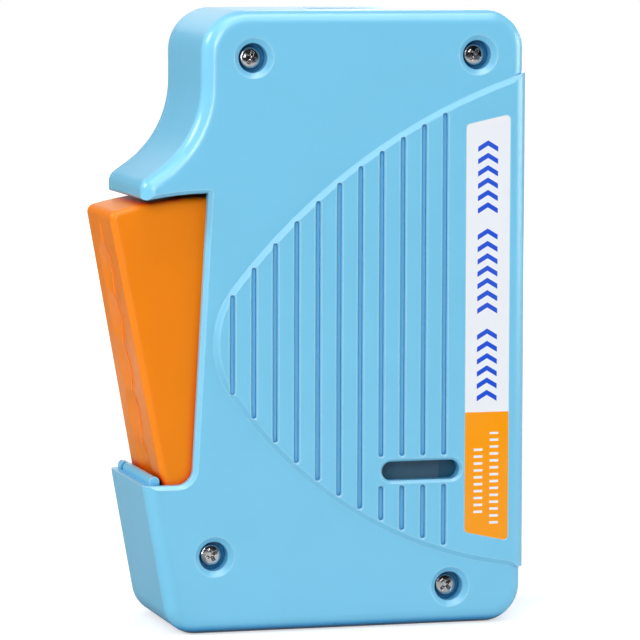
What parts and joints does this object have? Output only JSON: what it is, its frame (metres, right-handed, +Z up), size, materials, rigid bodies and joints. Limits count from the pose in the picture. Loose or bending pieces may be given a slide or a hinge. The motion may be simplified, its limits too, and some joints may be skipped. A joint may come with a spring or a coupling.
{
  "type": "fibre optic cleaning cassette",
  "caption": "Hand-held cleaning cassette with a moulded case, a side squeeze lever that winds a cleaning tape past a shuttered aperture in its top, and a ribbed arch panel.",
  "frame": {"origin": "under the middle of the part, on the flat bottom of the case", "axes": "+Z up along the case's height, +Y from the ribbed front with the label to the rear, +X to the right, away from the lever"},
  "size_m": [0.0787, 0.032, 0.115],
  "materials": {
    "case_plastic": "fine moulded grain, light blue",
    "lever_plastic": "satin moulded, orange",
    "label_film": "printed film, white and orange fields",
    "lens_plastic": "clear moulded strip",
    "screw_steel": "bright plated",
    "pin_steel": "ground",
    "spring_steel": "drawn wire",
    "inner_plastic": "moulded, dark grey",
    "reel_plastic": "moulded, natural white",
    "pad_rubber": "soft, matte",
    "tape_cloth": "fine woven microfibre",
    "felt": "pressed felt"
  },
  "bodies": {
    "case": {"front_shell": "case_plastic", "rear_shell": "case_plastic", "case_screws": "screw_steel", "label": "label_film", "window_lens": "lens_plastic", "pad_holder": "inner_plastic", "cleaning_pad": "pad_rubber", "roller_pins": "pin_steel", "tape_strand": "tape_cloth", "drag_washers": "felt", "hold_pawl": "spring_steel", "return_spring": "spring_steel"},
    "lever": {"squeeze_lever": "lever_plastic", "shutter_pin": "pin_steel"},
    "shutter_slide": {"shutter": "inner_plastic"},
    "drive": {"drive_gear": "reel_plastic", "drive_pawl": "inner_plastic"},
    "take_up": {"take_up_reel": "reel_plastic", "take_up_roll": "tape_cloth"},
    "supply": {"supply_reel": "reel_plastic", "supply_roll": "tape_cloth"},
    "roller_left": {"guide_roller_left": "reel_plastic"},
    "roller_right": {"guide_roller_right": "reel_plastic"}
  },
  "joints": [
    {"name": "lever_squeeze", "type": "hinge", "parent": "case", "child": "lever", "pos_m": [-0.021, 0, 0.0145], "axis": [0, 1, 0], "range_deg": [0, 10.5], "stiffness_Nm_per_rad": 0.8, "springref_deg": -14.32, "deforming": ["return_spring"]},
    {"name": "shutter_open", "type": "slide", "parent": "case", "child": "shutter_slide", "axis": [1, 0, 0], "range_m": [0, 0.01671]},
    {"name": "gear_spin", "type": "hinge", "parent": "case", "child": "drive", "pos_m": [0.00549, 0, 0.08091], "axis": [0, 1, 0], "range_deg": [-79.8, 5]},
    {"name": "take_up_spin", "type": "hinge", "parent": "case", "child": "take_up", "pos_m": [0.00549, 0, 0.08091], "axis": [0, 1, 0], "range_deg": [-79.8, 5], "deforming": ["hold_pawl"]},
    {"name": "supply_spin", "type": "hinge", "parent": "case", "child": "supply", "pos_m": [0.0055, 0, 0.0294], "axis": [0, 1, 0], "range_deg": [-39, 5]},
    {"name": "roller_left_spin", "type": "hinge", "parent": "case", "child": "roller_left", "pos_m": [-0.0042, 0, 0.10714], "axis": [0, 1, 0], "range_deg": [-251.7, 5]},
    {"name": "roller_right_spin", "type": "hinge", "parent": "case", "child": "roller_right", "pos_m": [0.0182, 0, 0.10714], "axis": [0, 1, 0], "range_deg": [-251.7, 5]}
  ],
  "couplings": [
    {"joint": "shutter_open", "follows": "lever_squeeze", "m_per_rad": 0.090649},
    {"joint": "gear_spin", "follows": "lever_squeeze", "ratio": -7.125},
    {"joint": "take_up_spin", "follows": "lever_squeeze", "ratio": -7.125},
    {"joint": "supply_spin", "follows": "lever_squeeze", "ratio": -3.2419},
    {"joint": "roller_left_spin", "follows": "lever_squeeze", "ratio": -23.492},
    {"joint": "roller_right_spin", "follows": "lever_squeeze", "ratio": -23.492}
  ]
}
